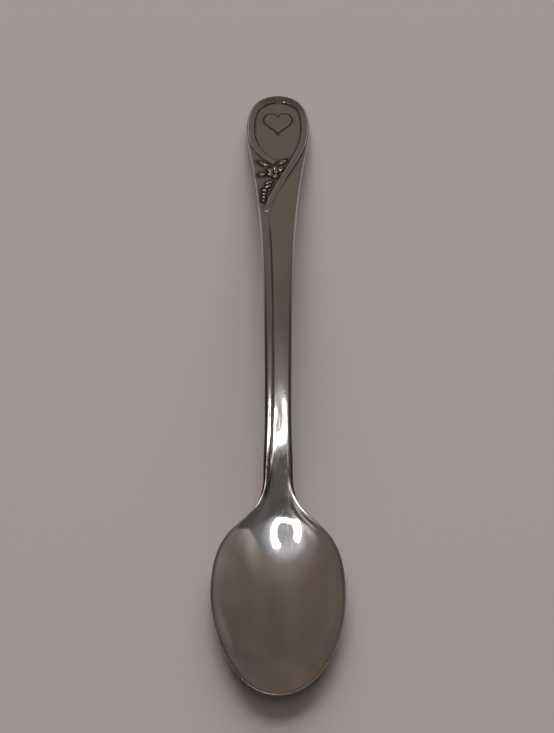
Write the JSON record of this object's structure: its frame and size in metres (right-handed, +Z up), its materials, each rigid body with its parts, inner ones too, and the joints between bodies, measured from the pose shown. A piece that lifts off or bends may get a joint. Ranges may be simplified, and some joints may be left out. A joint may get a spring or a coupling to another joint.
{
  "type": "baby spoon",
  "caption": "Feeding spoon with a shallow oval bowl and a slim arched handle that widens to a round end with raised ribbons, a flower sprig and a heart",
  "frame": {"origin": "middle of the spoon's length and width, on the table that it lies on", "axes": "+Y from the bowl's tip to the handle's end, +X across the bowl, +Z up out of the bowl"},
  "size_m": [0.0242, 0.137, 0.0145],
  "materials": {
    "steel": "polished",
    "ornament": "polished"
  },
  "bodies": {
    "root": {"bowl": "steel", "handle": "steel", "ribbon_left": "ornament", "ribbon_right": "ornament", "petal_1": "ornament", "petal_2": "ornament", "petal_3": "ornament", "petal_4": "ornament", "petal_5": "ornament", "blossom_centre": "ornament", "leaf_1": "ornament", "leaf_2": "ornament", "leaf_3": "ornament", "leaf_4": "ornament", "leaf_5": "ornament", "bud_1": "ornament", "bud_2": "ornament", "bud_3": "ornament", "bud_4": "ornament", "heart": "ornament"}
  },
  "joints": []
}
